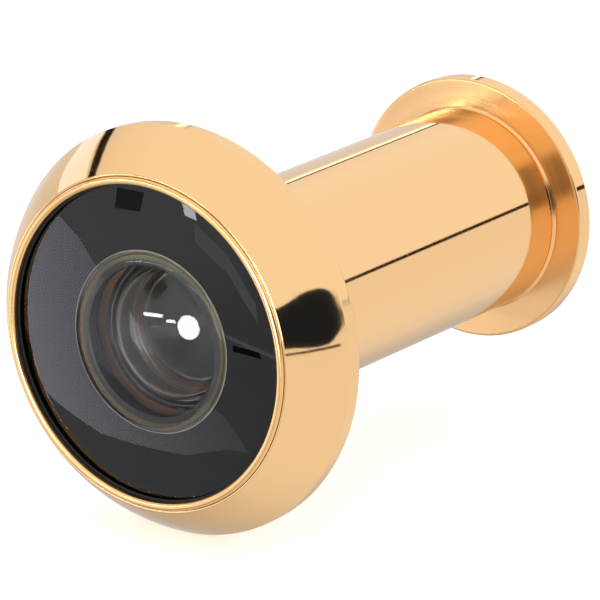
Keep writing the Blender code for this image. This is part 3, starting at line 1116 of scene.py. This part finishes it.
def ribbon(line: tuple[Point, ...], width: float) -> tuple[Point, ...]:
    """Returns the outline of a strip of one width along a line.

    Args:
        line: The strip's middle, point by point.
        width: Its width, measured upright.

    Returns:
        The outline.
    """
    above = tuple((first, height + width / 2) for first, height in line)
    below = tuple((first, height - width / 2) for first, height in reversed(line))
    return above + below


def disc(middle: Point, radius: float, steps: int = 48) -> tuple[Point, ...]:
    """Returns the outline of a round lamp."""
    turns = [2 * math.pi * step / steps for step in range(steps)]
    return tuple((middle[0] + radius * math.cos(t), middle[1] + radius * math.sin(t)) for t in turns)


@dataclass
class Studio:
    """A white room with a pale floor, a few dark strips and the camera."""

    camera_place: Spot = (0.23852, -0.31396, 0.13088)
    camera_aim: Spot = (0.0, 0.01379, -0.00166)
    lens_mm: float = 341.2
    sensor_mm: float = 36.0
    floor_gap: float = 0.00002
    floor_size: float = 3.0
    floor_glow: float = 0.45
    side_wall: float = 0.6
    near_wall: float = -0.6
    # The room's shade by the angle about the optical axis, in degrees from +X towards +Z
    room_shades: tuple[tuple[float, Spot], ...] = (
        (-180.0, (0.76, 0.77, 0.79)),
        (-171.0, (0.82, 0.82, 0.82)),
        (-160.0, (0.78, 0.80, 0.82)),
        (-150.0, (0.60, 0.60, 0.62)),
        (-138.0, (0.57, 0.60, 0.64)),
        (-127.0, (0.54, 0.54, 0.53)),
        (-113.0, (0.60, 0.58, 0.56)),
        (-100.0, (0.70, 0.69, 0.68)),
        (-85.0, (0.84, 0.83, 0.83)),
        (-65.0, (0.92, 0.91, 0.91)),
        (-30.0, (0.92, 0.90, 0.89)),
        (3.0, (0.92, 0.90, 0.88)),
        (10.0, (1.0, 1.0, 1.0)),
        (125.0, (1.0, 1.0, 1.0)),
        (145.0, (0.94, 0.92, 0.88)),
        (158.0, (0.80, 0.80, 0.80)),
        (180.0, (0.76, 0.77, 0.79)),
    )

    def side_cards(self) -> list[Card]:
        """Returns the cards at both sides, which the cone and the tubes mirror."""
        black_board = (
            (-0.52, 0.185), (-0.454, 0.198), (-0.360, 0.222), (-0.278, 0.239), (-0.190, 0.243),
            (-0.116, 0.237), (-0.085, 0.224), (-0.067, 0.204), (-0.056, 0.165), (-0.051, 0.124),
            (-0.043, 0.080), (-0.042, 0.031), (-0.047, 0.006), (-0.057, -0.012), (-0.075, -0.034),
            (-0.102, -0.048), (-0.180, -0.056), (-0.272, -0.059), (-0.396, -0.059), (-0.52, -0.058),
        )
        shelf_edge = ribbon(((-0.50, -0.100), (-0.395, -0.093), (-0.214, -0.072), (-0.046, -0.062)), 0.013)
        post_line = (
            (-0.08, 0.312), (0.029, 0.321), (0.124, 0.309), (0.200, 0.286), (0.259, 0.264), (0.32, 0.242),
        )
        frame_post = ribbon(post_line, 0.052)
        window = ((-0.05, 0.14), (0.38, 0.09), (0.38, 0.215), (0.26, 0.225), (0.12, 0.270), (-0.05, 0.285))
        line_right = ribbon(((0.600, 0.062), (0.95, 0.062)), 0.032)
        line_left = ribbon(((0.588, 0.265), (0.95, 0.265)), 0.024)
        white_strip = ribbon(((0.45, 0.318), (1.35, 0.318)), 0.06)
        left, right = -self.side_wall, self.side_wall
        return [
            Card("tube_line_right", Across.X, 0.50, line_right, "#2A1C08"),
            Card("tube_line_left", Across.X, -0.424, line_left, "#2A1C08"),
            Card("white_strip_left", Across.X, left, white_strip, "#FFFFFF", 1.7),
            Card("black_board", Across.X, right, black_board, "#1C2330"),
            Card("shelf_edge", Across.X, right, shelf_edge, "#1A1006"),
            Card("frame_post", Across.X, left, frame_post, "#241A0C"),
            Card("window_left", Across.X, left, window, "#E2EAFF", 1.5),
        ]

    def front_cards(self) -> list[Card]:
        """Returns what stands on the camera's side, which the glass and the rear flange's face mirror."""
        camera_cloth = ((0.262, 0.290), (0.398, -0.023), (0.720, -0.010), (0.480, 0.540))
        high_cloth = ((-0.385, 0.119), (-0.295, 0.275), (-0.540, 0.499), (-0.700, 0.221))
        top_lamp = ((-0.230, 0.360), (0.100, 0.360), (0.160, 0.700), (-0.330, 0.700))
        dark_top = ((-0.497, -0.105), (-0.446, -0.097), (-0.438, -0.074), (-0.492, -0.081))
        bright_gap = ((-0.373, -0.066), (-0.350, -0.072), (-0.347, -0.083), (-0.366, -0.082))
        pale_streak = ribbon(((-0.350, -0.096), (-0.300, -0.118), (-0.262, -0.160)), 0.020)
        bright_wall = (
            (-0.98, -0.08), (-0.627, -0.150), (-0.580, -0.162), (-0.535, -0.190), (-0.500, -0.225),
            (-0.420, -0.262), (-0.330, -0.300), (-0.305, -0.335), (-0.340, -0.342), (-0.420, -0.378),
            (-0.500, -0.398), (-0.612, -0.424), (-0.720, -0.426), (-0.98, -0.405),
        )
        shelf_light = ribbon(((-0.335, -0.195), (-0.240, -0.204)), 0.005)
        shelf_gap = ribbon(((-0.302, -0.209), (-0.262, -0.207)), 0.007)
        tube_lamp = ribbon(((-0.565, -0.018), (-0.272, 0.022)), 0.030)
        short_tube_lamp = ribbon(((-0.233, -0.008), (-0.132, 0.003)), 0.024)
        rows = (
            ("camera_cloth", camera_cloth, "#5A4A55"),
            ("high_cloth", high_cloth, "#6B6250", 0.8),
            ("top_lamp", top_lamp, "#FFF6EC", 1.15),
            ("bright_wall", bright_wall, "#F4F2FF", 3.1, 0.95),
            ("dark_top", dark_top, "#787884"),
            ("bright_gap", bright_gap, "#F2FAFF", 9.0),
            ("pale_streak", pale_streak, "#D8E4E8", 1.5),
            ("shelf_light", shelf_light, "#FFFFFF", 1.1),
            ("shelf_gap", shelf_gap, "#202428"),
            ("round_lamp", disc((-0.017, -0.024), 0.098), "#FFFFFF", 24.0),
            ("tube_lamp", tube_lamp, "#FFFFFF", 22.0),
            ("short_tube_lamp", short_tube_lamp, "#FFFFFF", 22.0),
        )
        return [Card(name, Across.Y, self.near_wall, *rest) for name, *rest in rows]

    def build(self) -> None:
        """Sets the camera, the light, the floor and the cards."""
        scene = bpy.context.scene
        scene.view_settings.view_transform = "Standard"
        # Light crosses eight glass faces and back, and the lamps may shine as bright as they are set
        scene.cycles.max_bounces = 24
        scene.cycles.transmission_bounces = 20
        scene.cycles.glossy_bounces = 12
        scene.cycles.sample_clamp_indirect = 26.0
        self.camera()
        self.world()
        self.floor()
        for card in self.side_cards() + self.front_cards():
            card.build()
            log.info("%s hung", card.name)

    def camera(self) -> None:
        """Puts the camera a little above the axis, in front and to the right."""
        data = bpy.data.cameras.new("camera")
        data.lens = self.lens_mm
        data.sensor_width = self.sensor_mm
        data.clip_start = 0.01
        data.clip_end = 20.0
        made = bpy.data.objects.new("camera", data)
        bpy.context.scene.collection.objects.link(made)
        made.location = self.camera_place
        looking = Vector(self.camera_aim) - Vector(self.camera_place)
        made.rotation_mode = "QUATERNION"
        made.rotation_quaternion = looking.to_track_quat("-Z", "Y")
        bpy.context.scene.camera = made

    def world(self) -> None:
        """Makes the white room, which dims towards its floor and its far corner."""
        world = bpy.data.worlds.new("white_room")
        world.use_nodes = True
        tree = world.node_tree
        backdrop = tree.nodes["Background"]
        way = add_node(tree, "ShaderNodeTexCoord").outputs["Generated"]
        parts = add_node(tree, "ShaderNodeSeparateXYZ", inputs={0: way}).outputs
        turn = add_node(tree, "ShaderNodeMath", {"operation": "ARCTAN2"}, {0: parts["Z"], 1: parts["X"]})
        circle = {"Value": turn.outputs[0], "From Min": -math.pi, "From Max": math.pi}
        share = add_node(tree, "ShaderNodeMapRange", inputs=circle)
        walls = add_node(tree, "ShaderNodeValToRGB", inputs={"Fac": share.outputs["Result"]})
        ramp = walls.color_ramp
        while len(ramp.elements) > 1:
            ramp.elements.remove(ramp.elements[-1])
        for number, (degrees, shade) in enumerate(self.room_shades):
            place = (degrees + 180) / 360
            stop = ramp.elements[0] if number == 0 else ramp.elements.new(place)
            stop.position = place
            stop.color = (*shade, 1.0)
        tree.links.new(walls.outputs["Color"], backdrop.inputs["Color"])
        bpy.context.scene.world = world

    def floor(self) -> None:
        """Lays the pale floor under the front flange."""
        level = cad_box[0].z - self.floor_gap
        mesh = bmesh.new()
        reach = self.floor_size
        spots = ((-reach, -reach), (reach, -reach), (reach, reach), (-reach, reach))
        mesh.faces.new([mesh.verts.new((x, y, level)) for x, y in spots])
        floor = add_object("floor", mesh)
        made = bpy.data.materials.new("matt_white_paper")
        made.use_nodes = True
        shader = made.node_tree.nodes["Principled BSDF"]
        shader.inputs["Base Color"].default_value = linear("#FAFAFA")
        shader.inputs["Roughness"].default_value = 0.9
        shader.inputs["Specular IOR Level"].default_value = 0.0
        shader.inputs["Emission Color"].default_value = linear("#FFFFFF")
        shader.inputs["Emission Strength"].default_value = self.floor_glow
        floor.data.materials.append(made)
        floor.visible_glossy = False
        floor.visible_transmission = False


def main() -> None:
    """Builds every sub-assembly in order, then the studio round them."""
    logging.basicConfig(level=logging.INFO, format="%(name)s %(message)s")
    for part in (FrontBarrel(), LensRetainer(), ObjectiveLens(), RelayLenses(), EyepieceBarrel(), Eyepiece()):
        part.build()
        log.info("%s built", type(part).__name__)
    Studio().build()


if __name__ == "__main__":
    main()
